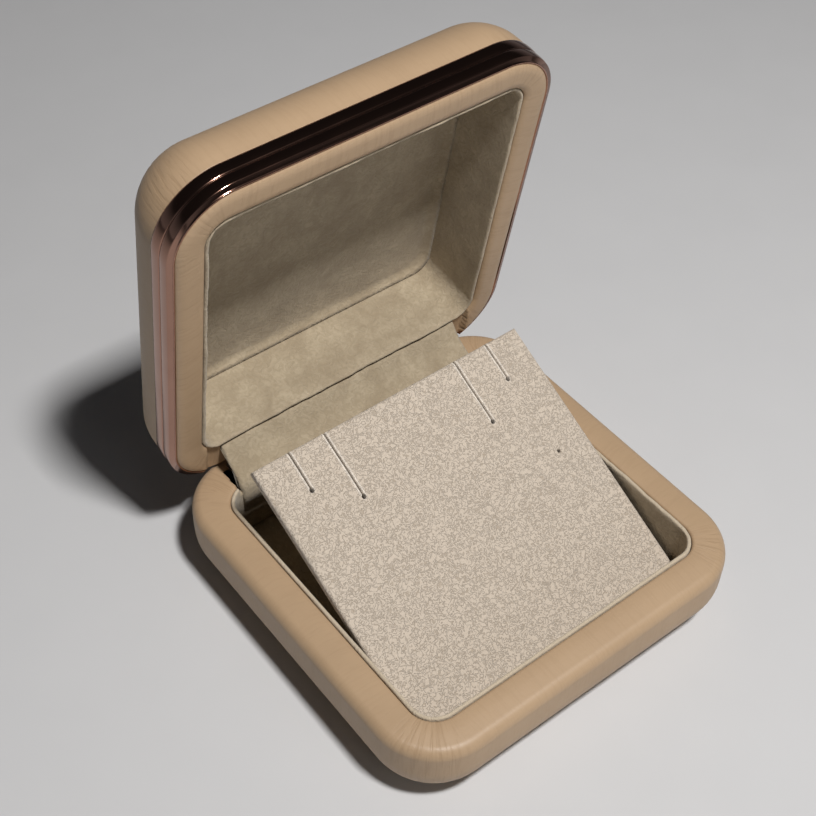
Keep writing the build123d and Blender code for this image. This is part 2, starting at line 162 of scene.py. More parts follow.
def skin(name, points, wrap_rows=True, attributes=None):
    """A mesh over a grid of points (rows, round), in millimetres, as quads.

    The columns always close on themselves, and wrap_rows joins the last row to the first.
    The mesh is turned outwards if its signed volume, a third of the sum of centre dot
    area, comes out negative. The cloth attribute holds the distance along the columns and
    the rows, in metres, for patterns that follow the surface.
    """
    rows, cols = points.shape[:2]
    index = np.arange(rows * cols).reshape(rows, cols)
    if wrap_rows:
        index = np.concatenate([index, index[:1]], 0)
    index = np.concatenate([index, index[:, :1]], 1)
    quads = np.stack([index[:-1, :-1], index[1:, :-1], index[1:, 1:], index[:-1, 1:]], -1)
    quads = quads.reshape(-1, 4)
    flat = points.reshape(-1, 3) * MM
    a, b, c, d = (flat[quads[:, k]] for k in range(4))
    if np.sum((a + b + c + d) * np.cross(c - a, d - b)) < 0:
        quads = quads[:, ::-1]
    mesh = bpy.data.meshes.new(name)
    mesh.from_pydata(flat.tolist(), [], quads.tolist())
    step_u = np.linalg.norm(np.diff(points, axis=1, append=points[:, :1]), axis=-1)
    along_u = np.cumsum(step_u, axis=1) - step_u
    along_u = np.broadcast_to(along_u[rows // 2], (rows, cols))
    step_v = np.linalg.norm(np.diff(points, axis=0, prepend=points[:1]), axis=-1)
    along_v = np.cumsum(step_v, axis=0)
    cloth = np.stack([along_u, along_v, np.zeros_like(along_u)], -1).reshape(-1, 3) * MM
    layer = mesh.attributes.new("cloth", "FLOAT_VECTOR", "POINT")
    layer.data.foreach_set("vector", cloth.astype(np.float32).ravel())
    for key, value in (attributes or {}).items():
        layer = mesh.attributes.new(key, "FLOAT", "POINT")
        layer.data.foreach_set("value", np.asarray(value, np.float32).ravel())
    mesh.polygons.foreach_set("use_smooth", [True] * len(mesh.polygons))
    joined = bmesh.new()
    joined.from_mesh(mesh)
    bmesh.ops.remove_doubles(joined, verts=joined.verts, dist=2e-7)
    bmesh.ops.dissolve_degenerate(joined, edges=joined.edges, dist=1e-8)
    joined.to_mesh(mesh)
    joined.free()
    obj = bpy.data.objects.new(name, mesh)
    bpy.context.collection.objects.link(obj)
    return obj


def add(tree, kind, inputs=None, **settings):
    """Adds a node, sets its properties, and fills or links its inputs."""
    made = tree.nodes.new(kind)
    for key, value in settings.items():
        setattr(made, key, value)
    for key, value in (inputs or {}).items():
        if isinstance(value, bpy.types.NodeSocket):
            tree.links.new(value, made.inputs[key])
        else:
            made.inputs[key].default_value = value
    return made


def linear(code):
    """An sRGB hex colour as linear red, green, blue and alpha."""
    parts = [int(code[k:k + 2], 16) / 255 for k in (1, 3, 5)]
    return [c / 12.92 if c <= 0.04045 else ((c + 0.055) / 1.055) ** 2.4 for c in parts] + [1.0]


def material(name):
    """A new node material, its tree, and its shader, which is linked to the output."""
    made = bpy.data.materials.new(name)
    made.use_nodes = True
    tree = made.node_tree
    tree.nodes.clear()
    shader = add(tree, "ShaderNodeBsdfPrincipled")
    add(tree, "ShaderNodeOutputMaterial", {"Surface": shader.outputs[0]})
    return made, tree, shader


# Calf leather, aniline dyed tan and pressed smooth: a fine pebble of about 0.5 mm,
# a soft sheen, slow changes of tone, and hair creases where it is pulled round corners,
# whose valleys are also darkened in colour as painted shade.
calf_leather, tree, shader = material("pressed_calf_leather")
place = add(tree, "ShaderNodeTexCoord").outputs["Object"]
cloth = add(tree, "ShaderNodeAttribute", attribute_name="cloth").outputs["Vector"]
pull = add(tree, "ShaderNodeAttribute", attribute_name="pull").outputs["Fac"]
tone = add(tree, "ShaderNodeTexNoise", {"Vector": place, "Scale": 1 / 0.014, "Detail": 4.0})
mottle = add(tree, "ShaderNodeTexNoise", {"Vector": place, "Scale": 1 / 0.0012, "Detail": 3.0})
dye = add(tree, "ShaderNodeMix", {"Factor": tone.outputs["Fac"], "A": linear("#B99E7F"),
                                 "B": linear("#AC9275")}, data_type="RGBA")
pebble = add(tree, "ShaderNodeTexVoronoi", {"Vector": place, "Scale": 1 / 0.00055},
             feature="SMOOTH_F1")
stretch = add(tree, "ShaderNodeVectorMath", {0: cloth, 1: (1 / 0.0006, 1 / 0.007, 1.0)},
              operation="MULTIPLY")
hair = add(tree, "ShaderNodeTexNoise", {"Vector": stretch.outputs[0], "Scale": 1.0,
                                       "Detail": 4.0, "Distortion": 0.6})
ridge = add(tree, "ShaderNodeMapRange", {"Value": hair.outputs["Fac"], "From Min": 0.36,
                                        "From Max": 0.52})
crease = add(tree, "ShaderNodeMath", {0: ridge.outputs[0], 1: pull}, operation="MULTIPLY")
# Painted shade: the crease valleys, where the ridge noise is low, are darkened towards #866A4C, held to
# the corners by pull.
line_dark = add(tree, "ShaderNodeMath", {0: 1.0, 1: ridge.outputs[0]}, operation="SUBTRACT")
line_here = add(tree, "ShaderNodeMath", {0: line_dark.outputs[0], 1: pull}, operation="MULTIPLY")
painted_crease_shade = add(tree, "ShaderNodeMath", {0: line_here.outputs[0], 1: 0.24}, operation="MULTIPLY")
leather_with_crease_shade = add(tree, "ShaderNodeMix", {"Factor": painted_crease_shade.outputs[0], "A": dye.outputs["Result"],
                                     "B": linear("#866A4C")}, data_type="RGBA")
tree.links.new(leather_with_crease_shade.outputs["Result"], shader.inputs["Base Color"])
gloss = add(tree, "ShaderNodeMapRange", {"Value": mottle.outputs["Fac"], "To Min": 0.40,
                                        "To Max": 0.54})
tree.links.new(gloss.outputs[0], shader.inputs["Roughness"])
grain_bump = add(tree, "ShaderNodeBump", {"Height": pebble.outputs["Distance"], "Strength": 0.22,
                                         "Distance": 0.00005})
crease_bump = add(tree, "ShaderNodeBump", {"Height": crease.outputs[0], "Strength": 0.35,
                                          "Distance": 0.00010, "Normal": grain_bump.outputs[0]})
tree.links.new(crease_bump.outputs[0], shader.inputs["Normal"])


def pleats(points, seed, depth):
    """Small folds of gathered leather at the corners, in millimetres.

    A sum of sines of the angle about each corner's centre, with random phases and
    periods of 1 to 3 mm, held to the corners by corner_pull.
    """
    draw = np.random.default_rng(seed)
    x = np.abs(points[..., 0]) - (half_width - corner_radius)
    y = np.abs(points[..., 1]) - (half_depth - corner_radius)
    turn = np.arctan2(y, x)
    quadrant = np.sign(points[..., 0]) + 2 * np.sign(points[..., 1])
    folds = sum(np.sin(turn * draw.uniform(30, 75) + quadrant * draw.uniform(0, 6)
                       + draw.uniform(0, 6)) for _ in range(5)) / 5
    return depth * folds * corner_pull(points)


rim_z = base_height - seam_gap
underside_inset = 11.0
inner_turn = 0.7
rim_fall = ((5.4, 0.0), (4.4, 0.08), (3.4, 0.22))
notch_leather = 0.6
base_outside = np.concatenate([
    [(leather_inner, rim_z - 1.0)],
    arc((leather_inner - inner_turn, rim_z - inner_turn), inner_turn, 0, 90, 6),
    [(inset, rim_z - fall) for inset, fall in rim_fall],
    arc((firm_round, rim_z - edge_drop - firm_round), firm_round, 97, 180, 14),
    [(0.0, height) for height in np.linspace(rim_z - edge_drop - firm_round, bottom_round, 9)[1:-1]],
    arc((bottom_round, bottom_round), bottom_round, 180, 270, 22),
    [(underside_inset, 0.0)]])
base_inside = np.concatenate([
    [(underside_inset, leather_thickness)],
    arc((bottom_round, bottom_round), bottom_round - leather_thickness, 270, 180, 12),
    arc((edge_round, rim_z - edge_round), edge_round - leather_thickness, 180, 90, 8),
    [(leather_inner - 0.1, rim_z - leather_thickness)]])
base_section = np.concatenate([base_outside, base_inside])
low_rows = base_section[:, 1] < bottom_round
points = np.where(low_rows[:, None, None], swept(base_section, outer_radius, shift=0.0),
                  swept(base_section, base_radius))
outside_rows = len(base_outside)
depth_below = np.where(np.arange(len(points)) < outside_rows, 0.0, notch_leather)[:, None]
in_notch = (np.abs(points[..., 0]) < notch_half_width) & (points[..., 1] > 0)
points[..., 2] = np.where(in_notch, np.minimum(points[..., 2], base_notch_z - depth_below),
                          points[..., 2])
points[..., 2] += pleats(points, 11, 0.09) * (points[..., 2] > rim_z - 0.5)
base_least_pull = 0.28
pull = np.maximum(corner_pull(points), base_least_pull)
base_skin = skin("base_leather_skin", points, attributes={"pull": pull})
base_skin.data.materials.append(calf_leather)
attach(base_skin, "base")
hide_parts("base_leather")

# The base lining: suede cloth glued to a card wall and floor inside the tray.
# The wall's cloth ends in a thin cut lip that stands just inside the leather,
# a little uneven, and paler than the rest: partly because the nap is cut there, and
# partly as a painted highlight on the edge. Real nap is finer than the picture can
# show, so its tufts are drawn 1.3 mm wide.
suede, tree, shader = material("napped_suede_cloth")
place = add(tree, "ShaderNodeTexCoord").outputs["Object"]
lip_and_highlight = add(tree, "ShaderNodeAttribute", attribute_name="lip_and_highlight").outputs["Fac"]
nap = add(tree, "ShaderNodeTexNoise", {"Vector": place, "Scale": 1 / 0.0013, "Detail": 3.0,
                                      "Distortion": 1.4})
fibre = add(tree, "ShaderNodeTexNoise", {"Vector": place, "Scale": 1 / 0.0003, "Detail": 2.0})
cloud = add(tree, "ShaderNodeTexNoise", {"Vector": place, "Scale": 1 / 0.007, "Detail": 4.0,
                                        "Distortion": 0.8})
nap_range = add(tree, "ShaderNodeMapRange", {"Value": nap.outputs["Fac"], "From Min": 0.38,
                                            "From Max": 0.62})
fibre_mix = add(tree, "ShaderNodeMix", {"Factor": 0.35, "A": nap_range.outputs[0],
                                       "B": fibre.outputs["Fac"]})
fabric = add(tree, "ShaderNodeMix", {"Factor": fibre_mix.outputs["Result"],
                                    "A": linear("#A3957D"), "B": linear("#B9AB93")},
             data_type="RGBA")
shade = add(tree, "ShaderNodeMapRange", {"Value": cloud.outputs["Fac"], "From Min": 0.35,
                                        "From Max": 0.7, "To Min": 0.0, "To Max": 0.7})
clouded = add(tree, "ShaderNodeMix", {"Factor": shade.outputs[0], "A": fabric.outputs["Result"],
                                     "B": linear("#968770")}, data_type="RGBA")
# Partly painted highlight: the lip mask pales the cloth towards #C2B49E; the rest of that paleness is
# the cut nap.
lip_highlighted = add(tree, "ShaderNodeMix", {"Factor": lip_and_highlight, "A": clouded.outputs["Result"],
                                    "B": linear("#C2B49E")}, data_type="RGBA")
tree.links.new(lip_highlighted.outputs["Result"], shader.inputs["Base Color"])
shader.inputs["Roughness"].default_value = 0.95
shader.inputs["Specular IOR Level"].default_value = 0.2
shader.inputs["Sheen Weight"].default_value = 0.25
shader.inputs["Sheen Roughness"].default_value = 0.6
nap_bump = add(tree, "ShaderNodeBump", {"Height": fibre_mix.outputs["Result"], "Strength": 0.55,
                                       "Distance": 0.00022})
tree.links.new(nap_bump.outputs[0], shader.inputs["Normal"])

lip_z = rim_z + 0.05
wall_foot = floor_high - 0.7
wall_thickness = 0.88
lip_radius = 0.42
lip_reach = 1.2
lip_sway, sway_per = 0.0014, 0.1


def wall_lining(top, foot, radius_of, direction, seed, notch_z=None):
    """A cloth wall: up the inside face, over a round lip and down the back of the card.

    direction is +1 where the wall stands on a floor, and -1 where it hangs from a
    ceiling. Near the lip the cloth is pushed about by a sum of four sines, two slow and
    two fast, by 0.2 mm at the most, as a hand-cut edge is.
    """
    inner = np.linspace(foot, top - direction * 0.5, 16)
    middle = rim_width - wall_thickness / 2
    back = rim_width - wall_thickness
    profile = np.concatenate([
        [(rim_width, h) for h in inner],
        [(middle + lip_radius * math.cos(t),
          top + direction * (lip_radius * math.sin(t) - lip_radius))
         for t in np.linspace(0.3, math.pi - 0.3, 9)],
        [(back, h) for h in inner[::-1]]])
    points = swept(profile, radius_of)
    draw = np.random.default_rng(seed)
    turn = np.arctan2(points[..., 1], points[..., 0])
    wobble = sum(a * np.sin(turn * k + draw.uniform(0, 6)) for a, k in
                 ((0.07, 9), (0.06, 23), (0.05, 61), (0.03, 140)))
    near_lip = np.clip(1 - np.abs(points[..., 2] - top) / lip_reach, 0, 1)
    points[..., 2] += wobble * near_lip
    points[..., 0] *= 1 + lip_sway * wobble * near_lip / sway_per
    if notch_z is not None:
        hidden = (np.abs(points[..., 0]) < notch_half_width) & (points[..., 1] > 0)
        points[..., 2] = np.where(hidden, np.minimum(points[..., 2], notch_z), points[..., 2])
    # The lip mask is 1 along the lip: the cut nap there, and a painted highlight on the edge.
    lip_and_highlight = np.clip(1 - (np.abs(points[..., 2] - top) - 0.25) / 0.5, 0, 1)
    return points, lip_and_highlight


points, lip_and_highlight = wall_lining(lip_z, wall_foot, base_radius, 1, 21, base_notch_z - 0.1)
base_wall = skin("base_wall_suede", points, attributes={"lip_and_highlight": lip_and_highlight})
base_wall.data.materials.append(suede)
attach(base_wall, "base")
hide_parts("base_wall_lining")


def cloth_panel(name, centre_z, thickness, inset, radius_of, seed):
    """A cloth-covered panel: the plan scaled down to its middle in steps, top and underside.

    Two slow sines give the top the slight waves of glued cloth, and its last ring is
    turned down a little.
    """
    shares = np.concatenate([np.linspace(0, 1, 34)[:-1] ** 0.8, [0.985, 1.0]])
    draw = np.random.default_rng(seed)
    edge = np.full(len(shares), float(inset))
    ring = swept(np.stack([edge, np.full(len(shares), centre_z)], -1), radius_of)
    ring[..., :2] *= shares[:, None, None]
    wave = sum(a * np.sin(ring[..., 0] * draw.uniform(0.05, 0.2) + ring[..., 1]
                          * draw.uniform(0.05, 0.2) + draw.uniform(0, 6)) for a in (0.05, 0.04))
    top, under = ring.copy(), ring[::-1].copy()
    top[..., 2] += wave * (shares < 0.98)[:, None] - 0.15 * (shares > 0.999)[:, None]
    under[..., 2] -= thickness
    return skin(name, np.concatenate([top, under]), wrap_rows=False, attributes={
        "lip_and_highlight": np.zeros(top.shape[0] * 2 * top.shape[1])})


base_floor = cloth_panel("base_floor_suede", floor_high, 0.8, rim_width + 0.05, base_radius, 31)
base_floor.data.materials.append(suede)
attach(base_floor, "base")
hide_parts("base_floor_lining")


# The lid: its parts are worked out shut, then turned open about the hinge.
# The crown is the same calf leather, drawn over a domed shell and tucked
# behind the metal band.
band_height = 6.5
band_top = base_height + band_height
lid_height = 22.0
lid_top = base_height + lid_height
crown_inset = 0.3
crown_round = 13.0
crown_dome = 0.5


def opened(points):
    """Turns points about the hinge axis from shut to the open rest pose."""
    y, z = points[..., 1] - hinge_y, points[..., 2] - hinge_z
    c, s = math.cos(lid_open), math.sin(lid_open)
    return np.stack([points[..., 0], hinge_y + y * c + z * s, hinge_z - y * s + z * c], -1)


def crown_rows(inset, top, radius):
    """The crown from its middle outwards: a flat with a slight dome, a round, then the side.

    The dome falls with the square of the share of the way out, by crown_dome in all.
    """
    turn = np.radians(np.linspace(90, 180, 18))
    round_part = np.stack([inset + radius + radius * np.cos(turn),
                           top - crown_dome - radius + radius * np.sin(turn)], -1)
    side = np.stack([np.full(9, inset),
                     np.linspace(top - crown_dome - radius, band_top + 0.06, 9)], -1)[1:]
    ring = swept(np.concatenate([round_part, side]), outer_radius, shift=0.0)
    shares = np.linspace(0, 1, 26)[:-1]
    flat = np.repeat(ring[:1], len(shares), 0)
    flat[..., :2] *= shares[:, None, None]
    flat[..., 2] += (crown_dome * (1 - shares ** 2))[:, None]
    return np.concatenate([flat, ring])


outside = crown_rows(crown_inset, lid_top, crown_round)
inside = crown_rows(crown_inset + leather_thickness, lid_top - leather_thickness,
                    crown_round - leather_thickness)[::-1]
outside[..., :2] *= 1 + pleats(outside, 12, 0.0012)[..., None]
points = np.concatenate([outside, inside])
crown_least_pull = 0.26
fade_down = np.clip((lid_top + 2 - points[..., 2]) / 16, 0.2, 1)
pull = np.maximum(corner_pull(points) * fade_down, crown_least_pull)
crown = skin("lid_crown_skin", opened(points), wrap_rows=False, attributes={"pull": pull})
crown.data.materials.append(calf_leather)
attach(crown, "lid")
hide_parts("lid_crown_leather")

# The rim of the lid: a separate strip of the leather on the face that meets the base.
# Both of its edges roll away, the outer one beside the band and the inner one behind
# the lining, so its face is a little puffed.
lid_rim_z = base_height + seam_gap
rim_leather_inset = 1.5
inner_puff, outer_puff = (1.9, 0.8), (2.4, 1.1)
lid_notch_z = hinge_z + (hinge_z - base_notch_z)


def lid_radius(inset):
    """Corner radius falls evenly from the outside corner to the lid's well."""
    return corner_radius - inset * (corner_radius - lid_well_radius) / rim_width


inner_roll = (arc((0, 0), 1.0, 0, -90, 9) * inner_puff
              + [leather_inner - inner_puff[0], lid_rim_z + inner_puff[1]])
outer_roll = (arc((0, 0), 1.0, 270, 180, 11) * outer_puff
              + [rim_leather_inset + outer_puff[0], lid_rim_z + outer_puff[1]])
profile = np.concatenate([
    [(leather_inner, lid_rim_z + leather_thickness)], inner_roll,
    [(4.8, lid_rim_z)], outer_roll, [(rim_leather_inset, lid_rim_z + leather_thickness)]])
points = swept(profile, lid_radius)
in_notch = (np.abs(points[..., 0]) < lid_notch_half_width) & (points[..., 1] > 0)
points[..., 2] += pleats(points, 13, 0.08) * (points[..., 2] < lid_rim_z + 0.6)
points[..., 2] = np.where(in_notch, lid_rim_z + leather_thickness - 0.02
                          + 0.02 * (points[..., 2] - lid_rim_z), points[..., 2])
rim_least_pull = 0.62
pull = np.maximum(corner_pull(points), rim_least_pull)
lid_rim = skin("lid_rim_skin", opened(points), attributes={"pull": pull})
lid_rim.data.materials.append(calf_leather)
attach(lid_rim, "lid")
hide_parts("lid_rim_leather")

# The band: drawn brass strip, plated rose gold and polished, pressed round the lid.
# Two convex facets stand proud with a groove between, over a narrow recessed flange.
rose_gold, tree, shader = material("polished_rose_gold_plate")
place = add(tree, "ShaderNodeTexCoord").outputs["Object"]
haze = add(tree, "ShaderNodeTexNoise", {"Vector": place, "Scale": 1 / 0.006, "Detail": 4.0})
wipe = add(tree, "ShaderNodeMapRange", {"Value": haze.outputs["Fac"], "To Min": 0.10,
                                       "To Max": 0.20})
plate = add(tree, "ShaderNodeMix", {"Factor": haze.outputs["Fac"], "A": linear("#B08A79"),
                                   "B": linear("#9E7868")}, data_type="RGBA")
tree.links.new(plate.outputs["Result"], shader.inputs["Base Color"])
tree.links.new(wipe.outputs[0], shader.inputs["Roughness"])
shader.inputs["Metallic"].default_value = 1.0
drawn = add(tree, "ShaderNodeTexNoise", {"Vector": place, "Scale": 1 / 0.0015, "Detail": 2.0})
polish = add(tree, "ShaderNodeBump", {"Height": drawn.outputs["Fac"], "Strength": 0.05,
                                     "Distance": 0.00004})
tree.links.new(polish.outputs[0], shader.inputs["Normal"])

band_back = 1.45
flange_z = base_height + 0.7
facet_z = base_height + 1.2
groove_z = base_height + 3.8
facet_bulge = 0.13
flange_edge, flange_inset = 1.2, 1.15
groove_inset, groove_lip = 0.5, 0.06
shoulder_inset = 0.7


def facet(low, high, count=9):
    """A convex facet: inset is a parabola, 0 at mid height and facet_bulge at its edges."""
    height = np.linspace(low, high, count)
    share = (height - low) / (high - low) * 2 - 1
    return np.stack([facet_bulge * share ** 2, height], -1)


profile = np.concatenate([
    [(band_back, flange_z), (flange_edge, flange_z), (flange_inset, flange_z + 0.1),
     (flange_inset, facet_z - 0.05)],
    facet(facet_z, groove_z - groove_lip), [(groove_inset, groove_z)],
    facet(groove_z + groove_lip, band_top),
    [(shoulder_inset, band_top + 0.02), (band_back, band_top + 0.02)]])
points = swept(profile, outer_radius, shift=0.0)
in_notch = (np.abs(points[..., 0]) < lid_notch_half_width) & (points[..., 1] > 0)
points[..., 2] = np.where(in_notch, np.maximum(points[..., 2], lid_notch_z), points[..., 2])
band = skin("lid_band_metal", opened(points))
band.data.materials.append(rose_gold)
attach(band, "lid")
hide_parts("lid_band")

# The lid's lining: suede cloth on a card wall, and a panel of it over thin foam.
# The panel meets the walls in a soft fold.
lid_well_depth = 17.8
lid_ceiling = base_height + lid_well_depth
lid_lip = lid_rim_z + 0.45
points, lip_and_highlight = wall_lining(lid_lip, lid_ceiling + 0.7, lid_radius, -1, 22)
# Painted shade: the lid's lip gets only a tenth of the pale lip colour, so it reads darker than the
# base's lip, which faces the lamp.
lid_wall = skin("lid_wall_suede", opened(points), attributes={"lip_and_highlight": lip_and_highlight * 0.1})
lid_wall.data.materials.append(suede)
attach(lid_wall, "lid")
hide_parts("lid_wall_lining")

cove_depth, cove_from, cove_share = 1.6, 0.93, 0.07
panel_thickness = 0.75
shares = np.concatenate([np.linspace(0, 1, 40)[:-1] ** 0.7, [1.0]])
edge = swept(np.stack([np.full(len(shares), rim_width + 0.05), np.full(len(shares), lid_ceiling)],
                      -1), lid_radius)
edge[..., :2] *= shares[:, None, None]
slack = np.random.default_rng(5)
wave = sum(a * np.sin(edge[..., 0] * slack.uniform(0.04, 0.18) + edge[..., 1]
                      * slack.uniform(0.04, 0.18) + slack.uniform(0, 6))
           for a in (0.12, 0.09, 0.07))
cove = cove_depth * np.clip((shares - cove_from) / cove_share, 0, 1)[:, None] ** 2
face, back = edge.copy(), edge[::-1].copy()
face[..., 2] += wave * np.clip((1 - shares) / 0.1, 0, 1)[:, None] - cove
back[..., 2] += panel_thickness
lid_panel = skin("lid_top_suede", opened(np.concatenate([face, back])), wrap_rows=False,
                 attributes={"lip_and_highlight": np.zeros(face.shape[0] * 2 * face.shape[1])})
lid_panel.data.materials.append(suede)
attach(lid_panel, "lid")
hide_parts("lid_top_lining")

# The hinge cover: a strip of the same cloth that hides the steel hinge. It is glued to
# the back wall of the well, crosses the gap in a shallow curve and is tucked behind
# the lid's lining. glued_path is the part on the base, as (y, z) from the well's back
# wall and from the rim.
cover_half_width = 32.2
cover_thickness = 0.6
glued_path = ((-0.45, -7.0), (-0.45, -3.0), (-0.40, -0.8), (0.6, 1.3))
strip_bow = np.array([0.45, -0.5])
wall_y = half_depth - rim_width - hinge_rim_extra
tuck = opened(np.array([[0, wall_y + 1.7, base_height + 1.2]]))[0]
tuck_end = opened(np.array([[0, wall_y + 2.9, base_height + 2.2]]))[0]
path = [(wall_y + y, base_height + z) for y, z in glued_path]
start, end = np.array(path[-1]), tuck[1:]
bow = np.linspace(0, 1, 12)[1:, None]
path = np.array(path + (start + bow * (end - start) + strip_bow * np.sin(math.pi * bow)).tolist()
                + [tuck_end[1:].tolist()])
step = np.gradient(path, axis=0)
out_dir = np.stack([step[:, 1], -step[:, 0]], -1) / np.linalg.norm(step, axis=1)[:, None]
front = path - out_dir * cover_thickness / 2
rear = path + out_dir * cover_thickness / 2
loop = np.concatenate([front, rear[::-1]])
across = np.linspace(-cover_half_width, cover_half_width, 90)
ripple = 0.12 * np.sin(across * 0.35 + 1.0) + 0.07 * np.sin(across * 0.9)
points = np.empty((len(across), len(loop), 3))
points[..., 0] = across[:, None]
points[..., 1] = loop[None, :, 0] + ripple[:, None] * 0.6
points[..., 2] = loop[None, :, 1] - ripple[:, None] * 0.5
ends = np.concatenate([points[:1].mean(1, keepdims=True) * np.ones((1, len(loop), 1)), points,
                       points[-1:].mean(1, keepdims=True) * np.ones((1, len(loop), 1))])
cover = skin("hinge_cover_strip", ends, wrap_rows=False,
             attributes={"lip_and_highlight": np.zeros(ends.shape[:2])})
cover.data.materials.append(suede)
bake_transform(cover)
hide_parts("hinge_cover")

# The pad: suede cloth stretched over a thin board, tilted up from the front of the well.
# Two pairs of slits run in from the back edge to punched holes that hold a chain, and
# one small hole takes an ear stud.
pad_joint = next(j for j in frame["joints"] if j["name"] == "pad_tilt")
pivot = np.array(pad_joint["pos_m"]) / MM
pad_low, pad_high = (np.array(v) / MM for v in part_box("pad_suede"))
pad_tilt = math.radians(26.8)
pad_length = 66.8
pad_thickness = 2.0
pad_half = (pad_high[0] - pad_low[0]) / 2
slits = ((17.5, 15.9), (26.5, 9.4))
stud_hole = (27.2, 28.8)
front_radius = 4.5
pad_edge_round = 0.75
slit_half_width, slit_wall = 0.20, 0.12
hole_radius, hole_wall = 0.58, 0.16
stud_radius, stud_wall = 0.46, 0.14
raised_at, raised_width, raised_height = 0.45, 0.20, 0.16
cut_depth = 1.55
edge_steps = np.array([0.06, 0.14, 0.24, 0.38, 0.54])
turned_under, fold_height = 0.9, 0.35


def cluster(low, high, coarse, fine, reach, places):
    """Even steps of coarse from low to high, with steps of fine within reach of each place."""
    line = [np.linspace(low, high, int((high - low) / coarse) + 1)]
    line += [np.arange(p - reach, p + reach + fine / 2, fine) for p in places]
    line = np.sort(np.concatenate(line))
    line = line[(line >= low) & (line <= high)]
    return line[np.append(True, np.diff(line) > fine * 0.45)]


slit_x = [s * x for x, _ in slits for s in (-1, 1)] + [stud_hole[0]]
hole_y = [pad_length - length for _, length in slits] + [pad_length - stud_hole[1]]
grid_x = cluster(-pad_half, pad_half, 0.7, 0.09, 0.75, slit_x)
grid_y = cluster(0.0, pad_length, 0.7, 0.11, 0.75, hole_y)
for p in (-pad_half, pad_half):
    grid_x = np.union1d(grid_x, p - np.sign(p) * edge_steps)
for p in (0.0, pad_length):
    grid_y = np.union1d(grid_y, abs(p - edge_steps))
gx, gy = np.meshgrid(grid_x, grid_y, indexing="ij")


def round_front(gx, gy):
    """Bends a grid on the pad's rectangle so its two front corners are round.

    A point belongs to the square ring at its distance in from the edge. Where it is
    nearer to the ring's corner than the ring's own radius, it goes to the arc, at 45
    degrees times its share of that distance.
    """
    cx, cy = pad_half - front_radius, front_radius
    dx, dy = np.abs(gx) - cx, cy - gy
    ring = np.maximum(dx, dy)
    lower = np.minimum(dx, dy)
    inside = (dx > 0) & (dy > 0)
    turn = np.where(inside, lower / np.maximum(ring, 1e-6) * math.pi / 4, 0)
    far, near = ring * np.cos(turn), ring * np.sin(turn)
    x_long = dx >= dy
    x = np.where(inside, np.sign(gx) * (cx + np.where(x_long, far, near)), gx)
    y = np.where(inside, cy - np.where(x_long, near, far), gy)
    return x, y, np.where(inside, front_radius - ring,
                          np.minimum.reduce([pad_half - np.abs(gx), gy, pad_length - gy]))


# The cut is 1 inside a slit or a hole and falls to 0 over its wall. The cloth beside a
# slit is pushed up along it, as a bell of the distance from the slit's line.
px, py, from_edge = round_front(gx, gy)
rounding = np.clip(from_edge, 0, pad_edge_round)
top = pad_thickness - pad_edge_round + np.sqrt(
    np.maximum(pad_edge_round ** 2 - (pad_edge_round - rounding) ** 2, 0))
carved = np.zeros_like(px)
raised = np.zeros_like(px)
for x, length in slits:
    for side in (-1, 1):
        across_slit = np.abs(px - side * x)
        before = np.maximum(pad_length - length - py, 0)
        away = np.hypot(across_slit, before)
        carved = np.maximum(carved, np.clip((slit_half_width - away) / slit_wall, 0, 1))
        to_hole = np.hypot(px - side * x, py - (pad_length - length))
        carved = np.maximum(carved, np.clip((hole_radius - to_hole) / hole_wall, 0, 1))
        raised = np.maximum(raised, np.exp(-((away - raised_at) / raised_width) ** 2))
to_hole = np.hypot(px - stud_hole[0], py - (pad_length - stud_hole[1]))
carved = np.maximum(carved, np.clip((stud_radius - to_hole) / stud_wall, 0, 1))
top += raised_height * raised - cut_depth * carved
sag = np.random.default_rng(8)
top += sum(0.035 * np.sin(px * sag.uniform(0.1, 0.5) + py * sag.uniform(0.1, 0.5)
                          + sag.uniform(0, 6)) for _ in range(4)) * (from_edge > 0.6)


def tilted(x, y, z):
    """Places points of the flat pad: turned up by the tilt about its lower front edge."""
    c, s = math.cos(pad_tilt), math.sin(pad_tilt)
    return np.stack([x, pivot[1] + y * c - z * s, pivot[2] + y * s + z * c], -1)


nx, ny = px.shape
upper = tilted(px, py, top).reshape(-1, 3)
ring_x = np.concatenate([np.arange(nx), np.full(ny - 1, nx - 1), np.arange(nx - 2, -1, -1),
                         np.zeros(ny - 2, int)])
ring_y = np.concatenate([np.zeros(nx, int), np.arange(1, ny), np.full(nx - 1, ny - 1),
                         np.arange(ny - 2, 0, -1)])
rim_index = ring_x * ny + ring_y
lower_edge = tilted(px[ring_x, ring_y], py[ring_x, ring_y], np.zeros(len(ring_x)))
lip_x = px[ring_x, ring_y] * (1 - turned_under / pad_half)
lip_y = turned_under + py[ring_x, ring_y] * (1 - 2 * turned_under / pad_length)
back_lip = tilted(lip_x, lip_y, np.zeros(len(ring_x)))
inner_lip = tilted(lip_x, lip_y, np.full(len(ring_x), fold_height))
index = np.arange(nx * ny).reshape(nx, ny)
quads = np.stack([index[:-1, :-1], index[1:, :-1], index[1:, 1:], index[:-1, 1:]], -1)
quads = [quads.reshape(-1, 4)]
rings = [rim_index] + [nx * ny + k * len(ring_x) + np.arange(len(ring_x)) for k in range(3)]
for a, b in zip(rings[:-1], rings[1:]):
    quads.append(np.stack([a, b, np.roll(b, -1), np.roll(a, -1)], -1))
vertices = np.concatenate([upper, lower_edge, back_lip, inner_lip])
mesh = bpy.data.meshes.new("pad_suede_cover")
mesh.from_pydata((vertices * MM).tolist(), [], np.concatenate(quads).tolist())
mesh.polygons.foreach_set("use_smooth", [True] * len(mesh.polygons))
layer = mesh.attributes.new("lip_and_highlight", "FLOAT", "POINT")
